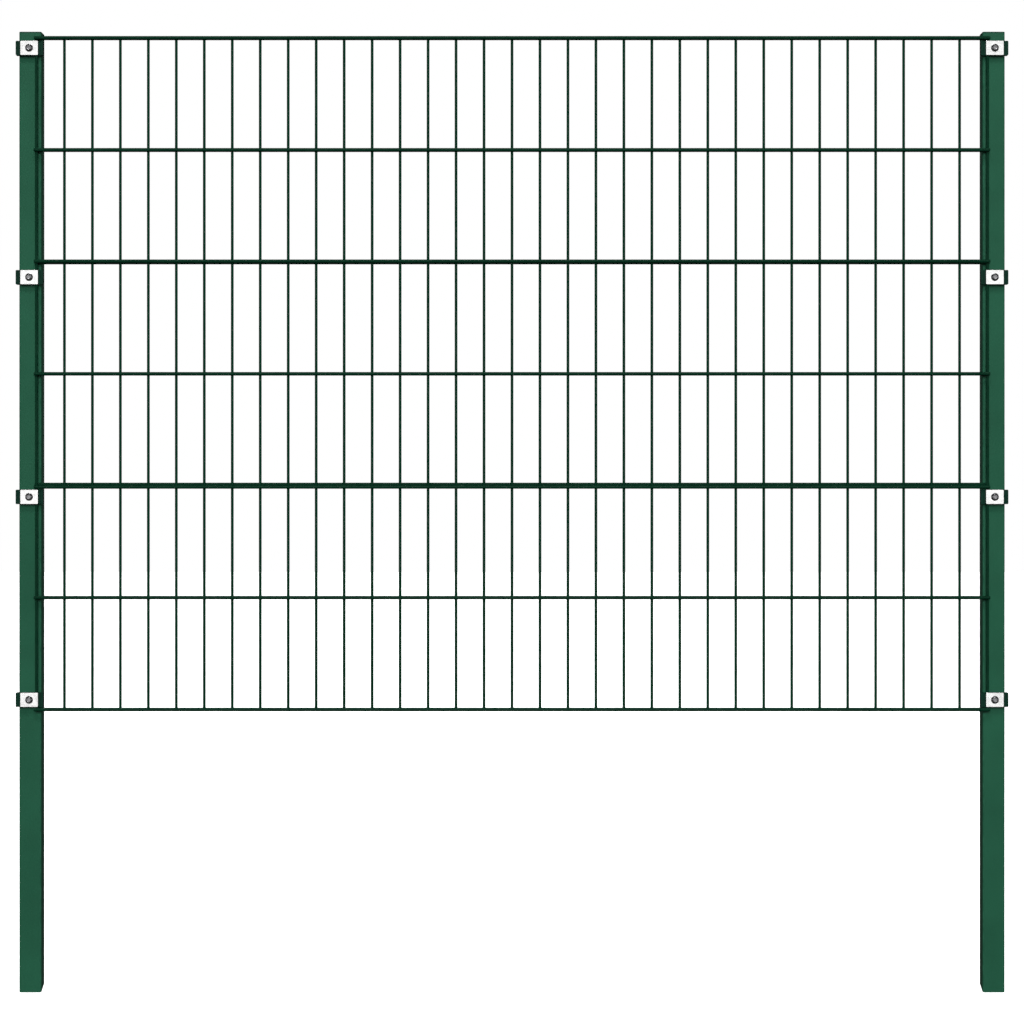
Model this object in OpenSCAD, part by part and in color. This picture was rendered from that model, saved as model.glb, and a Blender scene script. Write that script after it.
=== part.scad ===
// One bay of double-rod mesh fence: a welded wire mat carried in front of two square posts.
// Every post holds the mat with moulded saddles, each under a steel plate and a button-head screw
// that runs into a rivet nut in the post's front wall.
// Millimetres, +Z up. The origin is on the ground side, midway between the posts and midway
// through the depth. The front, where the clamp screws are, faces -Y, and left is -X.

/* [Mesh mat] */
// Number of upright wires
upright_count = 35; // [11:1:40]
// Distance between the axes of neighbouring upright wires
upright_pitch = 50; // [30:1:75]
// Diameter of an upright wire
upright_d = 5; // [4:0.5:7]
// Number of horizontal rows, each a front and a rear line wire
row_count = 7; // [4:1:8]
// Distance between neighbouring rows
row_pitch = 200; // [120:5:250]
// Diameter of a line wire
line_d = 6; // [4:0.5:8]
// Length of the line wires past the axis of the outermost upright wire
line_overhang = 4; // [3:0.5:8]
// Height of the bottom row above the foot of the posts
bottom_row_z = 507; // [60:1:900]
// Row whose two line wires are the furthest out of level, counted from the bottom row as 0
wide_row = 2; // [0:1:3]
// Height between the front and rear wire of that row
wide_row_offset = 5; // [0:0.5:6]
// Second row whose line wires are out of level
uneven_row = 4; // [0:1:7]
// Height between the front and rear wire of the second row
uneven_row_offset = 2; // [0:0.5:6]

/* [Posts] */
// Width of a post across its front face
post_w = 40; // [36:1:60]
// Depth of a post from front to back
post_d = 40; // [36:1:80]
// Wall thickness of the post tube
post_wall = 1.5; // [1:0.25:3]
// Outside corner radius of the post tube
post_corner_r = 4; // [3:0.5:6]
// Height of the top of the cap above the top row
post_above_top_row = 13; // [8:1:60]
// Rise of the slanting foot cut, from the front face to the back face
foot_slant = 12; // [0:1:40]

/* [Post caps] */
// Thickness of the cap's cover, which lies on the end of the tube
cap_cover_t = 2.5; // [1.5:0.5:6]
// Radius rolled round the top edge of the cover
cap_edge_r = 1.2; // [0.4:0.1:1.4]
// Length of the hollow plug inside the tube
cap_plug_l = 15; // [8:1:16]
// Wall thickness of the plug
cap_plug_wall = 2; // [1:0.5:4]
// Height of the grip ribs on the plug's four sides
cap_rib_t = 0.8; // [0.4:0.1:1.2]
// Width of a grip rib
cap_rib_w = 1.6; // [1:0.2:3]
// Gap between the grip ribs and the inside of the tube
cap_clearance = 0.1; // [0.05:0.05:0.4]

/* [Wire saddles] */
// Number of clamps on each post
clamp_count = 4; // [2:1:4]
// Gap between each clamp and the line wires it sits against, from the bottom clamp up
clamp_row_gaps = [1.5, 1.5, 10.5, 2]; // [1:0.5:20]
// Distance from the post's axis to the axis of a wire channel
channel_offset = 12.5; // [11:0.5:14]
// Height of a saddle
saddle_h = 26; // [20:1:40]
// Radius of the saddle's outline corners
saddle_corner_r = 2; // [1:0.5:4]
// Depth of the lips that hook round the post's front corners
saddle_lip_d = 3.5; // [2:0.5:3.5]
// Thickness of a lip
saddle_lip_t = 4.3; // [2.5:0.1:8]
// Gap between a lip and the side of the post
saddle_lip_clearance = 0.2; // [0.1:0.05:0.5]
// Gap between a wire and the wall of its channel
channel_clearance = 0.1; // [0.05:0.05:0.2]
// Gap between a wire and the plate that closes its channel
plate_wire_gap = 0.1; // [0.05:0.05:0.3]
// Depth of the grooves in the saddle's front, outside the plate
saddle_groove_d = 1.5; // [0.5:0.5:3]
// Width of a groove
saddle_groove_w = 4; // [2:0.5:6]
// Gap between the plate's edge and a groove
saddle_groove_gap = 0.6; // [0.4:0.1:1.5]

/* [Clamp plates] */
// Width of a clamp plate
plate_w = 31.5; // [31:0.5:40]
// Height of a clamp plate
plate_h = 25.5; // [18:0.5:40]
// Thickness of a clamp plate
plate_t = 2.5; // [1.5:0.5:5]
// Radius of the plate's corners
plate_corner_r = 1.5; // [0.5:0.5:4]

/* [Screws and rivet nuts] */
// Nominal diameter of the clamp screw's thread
screw_d = 8; // [6:1:10]
// Length of the clamp screw below its head
screw_l = 25; // [20:1:30]
// Diameter of the button head
head_d = 14; // [12:0.5:17]
// Height of the button head
head_h = 4.4; // [3:0.1:5.5]
// Height of the head's straight rim
head_rim_h = 0.8; // [0.4:0.1:1.2]
// Diameter of the flat land round the socket
head_land_d = 7.6; // [7:0.1:9]
// Width of the hexagon socket across its flats
socket_af = 5; // [3:0.5:6]
// Depth of the hexagon socket
socket_depth = 2.6; // [1.5:0.1:2.8]
// Gap round the screw in the nut
thread_clearance = 0.05; // [0.02:0.01:0.1]
// Gap round the screw in the plate
plate_hole_clearance = 0.3; // [0.2:0.1:0.5]
// Gap round the screw in the saddle
saddle_hole_clearance = 0.5; // [0.3:0.1:1]
// Wall of the rivet nut's body round its thread
nut_wall = 1.45; // [1.2:0.05:2]
// Gap round the nut's body in the post's wall
nut_hole_clearance = 0.05; // [0.05:0.05:0.2]
// Length of the rivet nut behind the post's front face
nut_l = 16; // [12:1:20]
// Width of the nut's flange round its body
nut_flange_w = 2; // [1.5:0.1:3]
// Thickness of the nut's flange
nut_flange_t = 1.5; // [1:0.1:2]
// Height of the bulge that grips the back of the post's wall
nut_bulge_w = 1.3; // [0.8:0.1:2]
// Length of that bulge
nut_bulge_l = 3.2; // [2:0.2:4]
// Gap round the nut's flange in the back of the saddle
flange_clearance = 0.3; // [0.2:0.1:0.6]

/* [Hidden] */
$fn = 64;
EPS = 0.01; // how far a cutter runs past a face
UPRIGHTS_PER_NODE = 5;
EDGE_STEPS = 5; // layers that round the top edge of a cap

COAT = [0.15, 0.33, 0.25];
CAP_PLASTIC = [0.13, 0.29, 0.22];
SADDLE_PLASTIC = [0.03, 0.12, 0.09];
STEEL = [0.78, 0.78, 0.76];
ZINC = [0.55, 0.56, 0.56];

SIDES = ["left", "right"];
CLAMP_PARTS = ["wire_saddle", "clamp_plate", "clamp_screw", "rivet_nut"];

// Widths and heights of the whole bay
mat_w = (upright_count - 1) * upright_pitch;
mat_h = (row_count - 1) * row_pitch;
post_x = mat_w / 2 + channel_offset;
top_z = bottom_row_z + mat_h + post_above_top_row;
tube_top_z = top_z - cap_cover_t;
upright_groups = ceil(upright_count / UPRIGHTS_PER_NODE);

// Depths in front of the post's front face, outwards
rear_line_out = line_d / 2;
upright_out = line_d + upright_d / 2;
front_line_out = line_d + upright_d + line_d / 2;
saddle_t = line_d + upright_d + plate_wire_gap;
saddle_w = post_w + 2 * (saddle_lip_clearance + saddle_lip_t);
plate_front_out = saddle_t + plate_t;
bay_d = post_d + plate_front_out + head_h;
post_front_y = bay_d / 2 - post_d;

channel_r = upright_d / 2 + channel_clearance;
post_inner_r = post_corner_r - post_wall;
nut_r = screw_d / 2 + nut_wall;
nut_hole_r = nut_r + nut_hole_clearance;
nut_flange_r = nut_r + nut_flange_w;

// Places --------------------------------------------------------------------------------------

function side_sign(side) = side == "left" ? -1 : 1;

function row_z(row) = bottom_row_z + row * row_pitch;

// Height of the rear wire above the front wire of a row
function row_offset(row) =
    row == wide_row ? wide_row_offset : row == uneven_row ? -uneven_row_offset : 0;

// The row that clamp i is next to, with the clamps spread evenly from bottom row to top row
function clamp_row(i) = round(i * (row_count - 1) / (clamp_count - 1));

// The bottom clamp stands above its row, and the others hang below theirs
function clamp_z(i) =
    let (row = clamp_row(i),
         reach = line_d / 2 + abs(row_offset(row)) / 2 + clamp_row_gaps[i] + saddle_h / 2)
    row_z(row) + (i == 0 ? reach : -reach);

// Moves what is drawn about a post's axis, with the post's front face at y = 0, to its place
module at_post(side) {
    translate([side_sign(side) * post_x, post_front_y, 0]) children();
}

// Moves what is drawn about a clamp screw's axis, with the post's front face at y = 0
module at_clamp(side, i) {
    at_post(side) translate([0, 0, clamp_z(i)]) children();
}

// Shared shapes -------------------------------------------------------------------------------

// Rectangle about the origin with round corners
module rounded_rect(w, h, r) {
    square([w - 2 * r, h], center = true);
    square([w, h - 2 * r], center = true);
    for (sx = [-1, 1], sy = [-1, 1])
        translate([sx * (w / 2 - r), sy * (h / 2 - r)]) circle(r);
}

// Cylinder along Y that runs forwards, towards -Y, from y = from to y = from - length
module peg(r, length, from = 0) {
    translate([0, from, 0]) rotate([90, 0, 0]) cylinder(h = length, r = r);
}

// Outline in X and Z, carried forwards from y = from
module facing_slab(length, from = 0) {
    translate([0, from, 0]) rotate([90, 0, 0]) linear_extrude(length) children();
}

// Posts ---------------------------------------------------------------------------------------

module post_tube() {
    translate([0, post_d / 2, 0]) linear_extrude(tube_top_z) difference() {
        rounded_rect(post_w, post_d, post_corner_r);
        rounded_rect(post_w - 2 * post_wall, post_d - 2 * post_wall, post_inner_r);
    }
}

// Wedge under the foot, nothing at the front face and foot_slant high at the back face
module foot_cutter() {
    translate([-post_w, 0, 0]) rotate([90, 0, 90]) linear_extrude(2 * post_w)
        polygon([[0, 0], [2 * post_d, 2 * foot_slant], [2 * post_d, -1], [0, -1]]);
}

module post(side) {
    color(COAT) at_post(side) difference() {
        post_tube();
        if (foot_slant > 0) foot_cutter();
        for (i = [0:clamp_count - 1])
            translate([0, 0, clamp_z(i)]) peg(nut_hole_r, post_wall + 2, post_wall + 1);
    }
}

// Post caps -----------------------------------------------------------------------------------

// The cover's outline pulled in by an inset
module cap_outline(inset) {
    rounded_rect(post_w - 2 * inset, post_d - 2 * inset, post_corner_r - inset);
}

module cap_cover() {
    hull() {
        linear_extrude(cap_cover_t - cap_edge_r) cap_outline(0, $fn = 32);
        for (i = [0:EDGE_STEPS]) {
            turn = 90 * i / EDGE_STEPS;
            translate([0, 0, cap_cover_t - cap_edge_r * (1 - sin(turn)) - EPS])
                linear_extrude(EPS) cap_outline(cap_edge_r * (1 - cos(turn)), $fn = 32);
        }
    }
}

module cap_plug() {
    inset = cap_rib_t + cap_clearance;
    plug_w = post_w - 2 * (post_wall + inset);
    plug_d = post_d - 2 * (post_wall + inset);
    plug_r = max(post_inner_r - inset, 0.8);
    translate([0, 0, -cap_plug_l]) linear_extrude(cap_plug_l + EPS) difference() {
        union() {
            rounded_rect(plug_w, plug_d, plug_r);
            for (across = [-1, 1] / 4) {
                translate([across * plug_w, 0])
                    square([cap_rib_w, plug_d + 2 * cap_rib_t], center = true);
                translate([0, across * plug_d])
                    square([plug_w + 2 * cap_rib_t, cap_rib_w], center = true);
            }
        }
        square([plug_w - 2 * cap_plug_wall, plug_d - 2 * cap_plug_wall], center = true);
    }
}

module post_cap(side) {
    color(CAP_PLASTIC) at_post(side) translate([0, post_d / 2, tube_top_z]) {
        cap_cover();
        cap_plug();
    }
}

// Clamps --------------------------------------------------------------------------------------

// Body of a saddle: a slab on the post's front face, and a lip round each front corner
module saddle_blank() {
    facing_slab(saddle_t) rounded_rect(saddle_w, saddle_h, saddle_corner_r);
    for (s = [-1, 1])
        translate([s * (saddle_w - saddle_lip_t) / 2, 0, 0])
            facing_slab(saddle_lip_d + EPS, saddle_lip_d)
                square([saddle_lip_t, saddle_h - 2 * saddle_corner_r], center = true);
}

// Upright channel with a half-round floor, open at the front
module wire_channel() {
    translate([0, -upright_out, -saddle_h]) {
        cylinder(h = 2 * saddle_h, r = channel_r);
        translate([-channel_r, -saddle_t, 0]) cube([2 * channel_r, saddle_t, 2 * saddle_h]);
    }
}

// Shallow groove down the saddle's front between the plate's edge and the saddle's edge
module edge_groove() {
    translate([plate_w / 2 + saddle_groove_gap, -saddle_t - EPS, -saddle_h])
        cube([saddle_groove_w, saddle_groove_d + EPS, 2 * saddle_h]);
}

module wire_saddle(side, i) {
    color(SADDLE_PLASTIC) at_clamp(side, i) difference() {
        saddle_blank();
        for (s = [-1, 1]) translate([s * channel_offset, 0, 0]) wire_channel();
        for (turn = [0, 1]) mirror([turn, 0, 0]) edge_groove();
        peg(screw_d / 2 + saddle_hole_clearance, saddle_t + 2, 1);
        peg(nut_flange_r + flange_clearance, nut_flange_t + flange_clearance + 1, 1);
    }
}

module clamp_plate(side, i) {
    color(STEEL) at_clamp(side, i) difference() {
        facing_slab(plate_t, -saddle_t) rounded_rect(plate_w, plate_h, plate_corner_r);
        peg(screw_d / 2 + plate_hole_clearance, plate_t + 2, 1 - saddle_t);
    }
}

// Dome from the top of the straight rim to the edge of the flat land, centred behind the seat
module button_head() {
    dome_back = (pow(head_d, 2) - pow(head_land_d, 2) + 4 * (pow(head_rim_h, 2) - pow(head_h, 2)))
        / (8 * (head_h - head_rim_h));
    dome_r = norm([head_d / 2, head_rim_h + dome_back]);
    intersection() {
        peg(head_d / 2, head_h);
        translate([0, dome_back, 0]) sphere(dome_r);
    }
}

module clamp_screw(side, i) {
    color(ZINC) at_clamp(side, i) translate([0, -plate_front_out, 0]) difference() {
        union() {
            button_head();
            peg(screw_d / 2 - thread_clearance, screw_l + EPS, screw_l);
        }
        translate([0, -head_h + socket_depth, 0]) rotate([90, 0, 0])
            cylinder(h = socket_depth + 1, r = socket_af / sqrt(3), $fn = 6);
    }
}

module rivet_nut(side, i) {
    color(ZINC) at_clamp(side, i) difference() {
        union() {
            peg(nut_flange_r, nut_flange_t);
            peg(nut_r, nut_l + EPS, nut_l);
            peg(nut_r + nut_bulge_w, nut_bulge_l, post_wall + nut_bulge_l);
        }
        peg(screw_d / 2, nut_l + nut_flange_t + 2, nut_l + 1);
    }
}

// Mesh mat ------------------------------------------------------------------------------------

// Line wire along X, out in front of the posts' front faces
module line_wire(out, z) {
    color(COAT) translate([-mat_w / 2 - line_overhang, post_front_y - out, z])
        rotate([0, 90, 0]) cylinder(h = mat_w + 2 * line_overhang, d = line_d);
}

// Upright wires of one group, each from the bottom of the bottom row to the top of the top row
module upright_wires(group) {
    first = (group - 1) * UPRIGHTS_PER_NODE;
    last = min(first + UPRIGHTS_PER_NODE, upright_count) - 1;
    color(COAT) for (i = [first:last])
        translate([i * upright_pitch - mat_w / 2, post_front_y - upright_out,
                   bottom_row_z - line_d / 2])
            cylinder(h = mat_h + line_d, d = upright_d);
}

for (side = SIDES) {
    post(side);
    post_cap(side);
    for (i = [0:clamp_count - 1]) {
        wire_saddle(side, i);
        clamp_plate(side, i);
        clamp_screw(side, i);
        rivet_nut(side, i);
    }
}
for (row = [0:row_count - 1]) {
    tilt = row_offset(row) / 2;
    line_wire(front_line_out, row_z(row) - tilt);
    line_wire(rear_line_out, row_z(row) + tilt);
}
for (group = [1:upright_groups])
    upright_wires(group);
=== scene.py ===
"""Looks for one bay of double-rod mesh fence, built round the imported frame.

A welded wire mat stands in front of two square posts. Each post holds it with four moulded
saddles, and each saddle has a bright steel plate and a button-head screw that runs into a rivet
nut in the post's front wall. Metres, Z up, front towards -Y, left is -X.
"""

import logging
import math
from collections.abc import Callable, Iterator, Mapping, Sequence
from dataclasses import dataclass, field
from enum import Enum
from itertools import product

import bmesh
import bpy
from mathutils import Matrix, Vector


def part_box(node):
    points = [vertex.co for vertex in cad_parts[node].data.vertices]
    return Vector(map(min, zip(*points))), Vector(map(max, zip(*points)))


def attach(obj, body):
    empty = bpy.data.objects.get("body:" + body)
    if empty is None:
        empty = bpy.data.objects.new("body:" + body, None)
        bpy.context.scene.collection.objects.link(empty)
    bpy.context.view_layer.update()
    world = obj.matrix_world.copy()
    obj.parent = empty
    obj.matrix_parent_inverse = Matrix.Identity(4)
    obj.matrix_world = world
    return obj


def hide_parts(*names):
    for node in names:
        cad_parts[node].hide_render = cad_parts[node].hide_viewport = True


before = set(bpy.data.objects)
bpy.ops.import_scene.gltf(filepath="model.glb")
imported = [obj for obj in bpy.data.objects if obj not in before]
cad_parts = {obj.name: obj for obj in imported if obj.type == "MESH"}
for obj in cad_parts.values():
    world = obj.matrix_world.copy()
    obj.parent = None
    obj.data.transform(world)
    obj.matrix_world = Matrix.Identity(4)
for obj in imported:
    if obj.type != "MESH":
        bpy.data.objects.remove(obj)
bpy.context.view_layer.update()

log = logging.getLogger("fence_bay")

MM = 0.001
TOUCH = 1e-6  # two corners nearer than this are one corner
CUTTER_REACH = 2 * MM  # how far a cutter runs past the face it opens
FLAT_ANGLE = 0.002  # faces that turn less than this, in radians, are one flat
HEXAGON = 6
TOOTH_SPREAD = 0.42  # half the width of a thread's tooth at its root, as a share of the pitch
BEAD_SHAPE = ((0.0, 1.0), (0.62, 0.86), (0.9, 0.45), (1.0, 0.0))  # shares of radius and thickness
ROUND_ANGLE = 0.55  # faces that turn less than this are shaded as one round surface
BLUNT_ANGLE = 0.6  # edges that turn more than this are broken on moulded pieces

Piece = bpy.types.Object
Socket = bpy.types.NodeSocket
Material = bpy.types.Material
Edge = bmesh.types.BMEdge
Face = bmesh.types.BMFace
Triple = tuple[float, float, float]
Colour = tuple[float, float, float]
Value = Socket | float


class Slot(Enum):
    """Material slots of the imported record."""

    POST_COAT = "post_powder_coat"
    WIRE_COAT = "wire_powder_coat"
    CAP_PLASTIC = "cap_plastic"
    SADDLE_PLASTIC = "saddle_plastic"
    PLATE_STEEL = "clamp_steel"
    SCREW_STEEL = "screw_steel"
    NUT_ZINC = "nut_zinc"


class Axis(Enum):
    """Direction that a run of edges or a rod follows."""

    X = 0
    Y = 1
    Z = 2


class Part(Enum):
    """What an edit picks."""

    CORNER = "VERT"
    EDGE = "EDGE"
    FACE = "FACE"


class Cut(Enum):
    """How one solid works on another."""

    TAKE = "DIFFERENCE"
    ADD = "UNION"


# Hand tools


class Bench:
    """Hand tools of the modelling bench."""

    @staticmethod
    def clear() -> None:
        """Lets go of everything."""
        bpy.ops.object.select_all(action="DESELECT")

    @staticmethod
    def take(piece: Piece) -> None:
        """Makes one piece the only one in hand.

        Args:
            piece: Piece to take in hand.
        """
        Bench.clear()
        piece.select_set(True)
        bpy.context.view_layer.objects.active = piece

    @staticmethod
    def settle(piece: Piece) -> None:
        """Puts a piece's place, turn and size into its mesh."""
        Bench.take(piece)
        bpy.ops.object.transform_apply(location=True, rotation=True, scale=True)

    @staticmethod
    def name(piece: Piece, name: str) -> Piece:
        """Names a piece and its mesh.

        Args:
            piece: Piece to name.
            name: Its new name.

        Returns:
            The same piece.
        """
        piece.name = name
        piece.data.name = name
        return piece

    @staticmethod
    def block(name: str, low: Sequence[float], high: Sequence[float]) -> Piece:
        """Starts a piece as a block.

        Args:
            name: Name of the piece.
            low: Lowest corner.
            high: Highest corner.

        Returns:
            The block, with its place in its mesh.
        """
        middle = [(a + b) / 2 for a, b in zip(low, high)]
        size = [b - a for a, b in zip(low, high)]
        Bench.clear()
        bpy.ops.mesh.primitive_cube_add(size=1, location=middle, scale=size)
        piece = Bench.name(bpy.context.object, name)
        Bench.settle(piece)
        return piece

    @staticmethod
    def rod(
        name: str, along: Axis, radius: float, start: Sequence[float], length: float, sides: int
    ) -> Piece:
        """Starts a piece as a round rod.

        Args:
            name: Name of the piece.
            along: Axis that the rod follows.
            radius: Radius of the rod.
            start: Middle of the rod's lower end.
            length: Length towards the axis's positive end.
            sides: Number of flats round the rod.

        Returns:
            The rod, with its place in its mesh.
        """
        quarter = math.pi / 2
        turn = {Axis.X: (0, quarter, 0), Axis.Y: (quarter, 0, 0), Axis.Z: (0, 0, 0)}[along]
        middle = Vector(start)
        middle[along.value] += length / 2
        Bench.clear()
        bpy.ops.mesh.primitive_cylinder_add(
            vertices=sides, radius=radius, depth=length, location=middle, rotation=turn
        )
        piece = Bench.name(bpy.context.object, name)
        Bench.settle(piece)
        return piece

    @staticmethod
    def pick(piece: Piece, part: Part, wanted: Callable[..., bool]) -> None:
        """Opens a piece for editing and picks the corners, edges or faces that are wanted.

        Args:
            piece: Piece to edit.
            part: What to pick.
            wanted: Says of one bmesh element whether it is picked.
        """
        if piece.mode != "EDIT":
            Bench.take(piece)
            bpy.ops.object.mode_set(mode="EDIT")
        bpy.ops.mesh.select_mode(type=part.value)
        bpy.ops.mesh.select_all(action="DESELECT")
        mesh = bmesh.from_edit_mesh(piece.data)
        mesh.normal_update()
        for element in {Part.CORNER: mesh.verts, Part.EDGE: mesh.edges, Part.FACE: mesh.faces}[part]:
            if wanted(element):
                element.select_set(True)
        bmesh.update_edit_mesh(piece.data)

    @staticmethod
    def close() -> None:
        """Ends the editing of the piece in hand."""
        bpy.ops.object.mode_set(mode="OBJECT")

    @staticmethod
    def round_edges(piece: Piece, wanted: Callable[..., bool], radius: float, steps: int) -> None:
        """Rounds the edges that are wanted.

        Args:
            piece: Piece to edit.
            wanted: Says of one edge whether it is rounded.
            radius: Radius of the rounding.
            steps: Number of flats across the rounding.
        """
        Bench.pick(piece, Part.EDGE, wanted)
        bpy.ops.mesh.bevel(
            offset=radius, offset_type="OFFSET", segments=steps, profile=0.5, affect="EDGES"
        )
        Bench.close()

    @staticmethod
    def clean(piece: Piece) -> None:
        """Takes away edges that lie inside a flat.

        Args:
            piece: Piece to clean.
        """
        Bench.pick(piece, Part.FACE, lambda face: True)
        bpy.ops.mesh.dissolve_limited(angle_limit=FLAT_ANGLE)
        Bench.close()

    @staticmethod
    def modify(piece: Piece, kind: str, **settings: object) -> None:
        """Adds a modifier to a piece, sets its properties and applies it.

        Args:
            piece: Piece to change.
            kind: Kind of modifier.
            **settings: The modifier's properties.
        """
        Bench.take(piece)
        bpy.ops.object.modifier_add(type=kind)
        modifier = piece.modifiers[-1]
        for name, value in settings.items():
            setattr(modifier, name, value)
        bpy.ops.object.modifier_apply(modifier=modifier.name)

    @staticmethod
    def soften(piece: Piece, width: float) -> None:
        """Breaks every edge that is sharper than a blunt angle."""
        Bench.modify(
            piece, "BEVEL", width=width, segments=2, limit_method="ANGLE", angle_limit=BLUNT_ANGLE
        )

    @staticmethod
    def combine(piece: Piece, tool: Piece, cut: Cut) -> None:
        """Cuts one solid out of a piece, or adds it, and clears the tool away."""
        Bench.modify(piece, "BOOLEAN", operation=cut.value, solver="EXACT", object=tool)
        Bench.discard(tool)

    @staticmethod
    def discard(piece: Piece) -> None:
        """Throws away a piece and its mesh.

        Args:
            piece: Piece that is no longer needed.
        """
        mesh = piece.data
        bpy.data.objects.remove(piece)
        bpy.data.meshes.remove(mesh)

    @staticmethod
    def join(pieces: Sequence[Piece]) -> Piece:
        """Makes several shells one piece.

        Args:
            pieces: Shells to join.

        Returns:
            The first of them, which now holds them all.
        """
        Bench.clear()
        for piece in pieces:
            piece.select_set(True)
        bpy.context.view_layer.objects.active = pieces[0]
        bpy.ops.object.join()
        return pieces[0]

    @staticmethod
    def copy(piece: Piece, name: str, shift: Sequence[float]) -> Piece:
        """Copies a piece with its own mesh and moves the copy.

        Args:
            piece: Piece to copy.
            name: Name of the copy.
            shift: How far the copy moves.

        Returns:
            The copy.
        """
        Bench.take(piece)
        bpy.ops.object.duplicate(linked=False)
        twin = Bench.name(bpy.context.object, name)
        bpy.ops.transform.translate(value=shift)
        Bench.settle(twin)
        return twin

    @staticmethod
    def row(piece: Piece, count: int, step: Sequence[float]) -> None:
        """Repeats a shell in a straight row inside its own mesh.

        Args:
            piece: Shell to repeat.
            count: Number of shells in the row.
            step: Shift from one shell to the next.
        """
        Bench.modify(
            piece,
            "ARRAY",
            count=count,
            use_relative_offset=False,
            use_constant_offset=True,
            constant_offset_displace=step,
        )

    @staticmethod
    def turned(
        name: str, outline: Sequence[tuple[float, float]], sides: int, ring: bool = False
    ) -> Piece:
        """Turns a solid on the lathe about the Y axis.

        Args:
            name: Name of the piece.
            outline: Radius and Y of each corner, in order.
            sides: Number of flats round the piece.
            ring: True where the outline is a closed loop clear of the axis.

        Returns:
            The turned piece, at the origin.
        """
        first_r, first_y = outline[0]
        Bench.clear()
        bpy.ops.mesh.primitive_plane_add(size=MM, location=(first_r, first_y, 0))
        piece = Bench.name(bpy.context.object, name)
        Bench.settle(piece)
        Bench.pick(piece, Part.CORNER, lambda corner: True)
        bpy.ops.mesh.merge(type="CENTER")
        for (r0, y0), (r1, y1) in zip(outline, outline[1:]):
            step = {"value": (r1 - r0, y1 - y0, 0)}
            bpy.ops.mesh.extrude_vertices_move(TRANSFORM_OT_translate=step)
        if ring:
            Bench.pick(piece, Part.CORNER, lambda corner: len(corner.link_edges) < 2)
            bpy.ops.mesh.edge_face_add()
        bpy.ops.mesh.select_all(action="SELECT")
        bpy.ops.mesh.spin(steps=sides, angle=2 * math.pi, center=(0, 0, 0), axis=(0, 1, 0))
        bpy.ops.mesh.select_all(action="SELECT")
        bpy.ops.mesh.remove_doubles(threshold=TOUCH)
        bpy.ops.mesh.normals_make_consistent(inside=False)
        Bench.close()
        return piece

    @staticmethod
    def smooth(piece: Piece, up_to: float = ROUND_ANGLE) -> None:
        """Shades a piece smooth across blunt edges and keeps its flats flat.

        Args:
            piece: Piece to shade.
            up_to: Largest turn between faces, in radians, that is shaded smooth.
        """
        Bench.take(piece)
        bpy.ops.object.shade_smooth_by_angle(angle=up_to)
        Bench.modify(piece, "WEIGHTED_NORMAL", keep_sharp=True)


def runs_along(edge: Edge, axis: Axis) -> bool:
    """Says whether an edge is parallel to an axis."""
    a, b = (corner.co for corner in edge.verts)
    return all(abs(a[i] - b[i]) < TOUCH for i in range(3) if i != axis.value)


def lies_at(element: Edge | Face, axis: Axis, place: float) -> bool:
    """Says whether every corner of an edge or face is at one place on an axis."""
    return all(abs(corner.co[axis.value] - place) < TOUCH for corner in element.verts)


def middle_of(node: str) -> Vector:
    """Returns the middle of a CAD node's box."""
    low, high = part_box(node)
    return (low + high) / 2


# Finishes


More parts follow.
